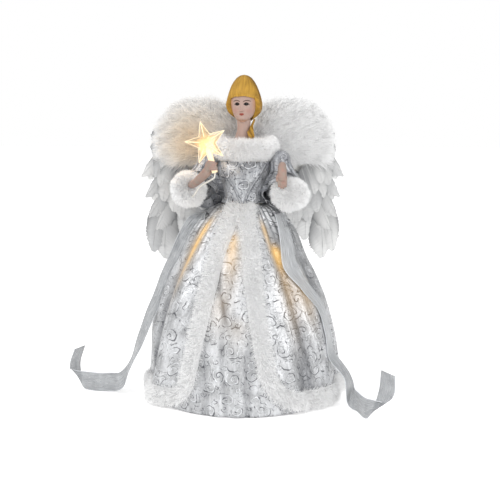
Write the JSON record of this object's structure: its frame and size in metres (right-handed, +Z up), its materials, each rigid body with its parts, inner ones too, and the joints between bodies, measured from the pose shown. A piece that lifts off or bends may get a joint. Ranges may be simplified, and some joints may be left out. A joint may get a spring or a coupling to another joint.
{
  "type": "angel tree topper",
  "caption": "Standing angel figure on a hollow bell-shaped skirt form, with folding feather wings, swinging arms and a lit star.",
  "frame": {"origin": "centre of the skirt form's base rim, on the plane it stands on", "axes": "+Z up the figure, +X to the figure's left, the figure faces -Y"},
  "size_m": [0.2969, 0.1797, 0.3],
  "materials": {
    "plastic": "white moulded plastic",
    "skin": "painted moulding",
    "hair": "combed synthetic hair",
    "brocade": "silver scroll brocade",
    "plush": "white long-pile plush",
    "feather": "white feather",
    "organza": "sheer silver ribbon",
    "star": "clear faceted plastic, lit warm",
    "lamp": "warm lamp",
    "wire": "bright steel wire",
    "lead": "insulated lead",
    "felt": "stiff white felt",
    "box": "dark moulded plastic",
    "cell": "plain printed sleeve"
  },
  "bodies": {
    "figure": {"skirt_form": "plastic", "torso_form": "plastic", "wing_anchor": "plastic", "head": "skin", "hair": "hair", "ringlet": "hair", "bodice": "brocade", "underskirt": "brocade", "robe": "brocade", "collar": "plush", "front_trim_left": "plush", "front_trim_right": "plush", "hem_trim": "plush", "ribbon_left": "organza", "ribbon_right": "organza", "lamp_1": "lamp", "lamp_2": "lamp", "lamp_3": "lamp", "lamp_4": "lamp", "lamp_5": "lamp", "lamp_6": "lamp", "spring_contact": "wire", "bridge_contact": "wire", "lamp_lead": "lead", "battery_box": "box", "cell_left": "cell", "cell_right": "cell"},
    "left_arm": {"left_arm_wire": "wire", "left_sleeve": "brocade", "left_cuff": "plush", "left_hand": "skin"},
    "right_arm": {"right_arm_wire": "wire", "right_sleeve": "brocade", "right_cuff": "plush", "right_hand": "skin", "star": "star", "star_lamp": "lamp", "star_lead": "lead"},
    "left_wing": {"left_wing_wire": "wire", "left_wing_backing": "felt", "left_flight_1": "feather", "left_flight_2": "feather", "left_flight_3": "feather", "left_flight_4": "feather", "left_flight_5": "feather", "left_flight_6": "feather", "left_covert_row": "feather", "left_down": "feather"},
    "right_wing": {"right_wing_wire": "wire", "right_wing_backing": "felt", "right_flight_1": "feather", "right_flight_2": "feather", "right_flight_3": "feather", "right_flight_4": "feather", "right_flight_5": "feather", "right_flight_6": "feather", "right_covert_row": "feather", "right_down": "feather"},
    "battery_door": {"battery_door": "box"},
    "switch_slider": {"switch_slider": "box"}
  },
  "joints": [
    {"name": "left_shoulder", "type": "hinge", "parent": "figure", "child": "left_arm", "pos_m": [0.034, -0.002, 0.222], "axis": [-1, 0, 0], "range_deg": [-5, 30]},
    {"name": "right_shoulder", "type": "hinge", "parent": "figure", "child": "right_arm", "pos_m": [-0.034, -0.002, 0.222], "axis": [-1, 0, 0], "range_deg": [-5, 25]},
    {"name": "left_wing_fold", "type": "hinge", "parent": "figure", "child": "left_wing", "pos_m": [0.007, 0.027, 0.209], "axis": [0, 0, 1], "range_deg": [0, 40]},
    {"name": "right_wing_fold", "type": "hinge", "parent": "figure", "child": "right_wing", "pos_m": [-0.007, 0.027, 0.209], "axis": [0, 0, -1], "range_deg": [0, 40]},
    {"name": "battery_door_slide", "type": "slide", "parent": "figure", "child": "battery_door", "axis": [0, 0, -1], "range_m": [0, 0.066]},
    {"name": "switch_slide", "type": "slide", "parent": "figure", "child": "switch_slider", "axis": [1, 0, 0], "range_m": [0, 0.004]}
  ]
}
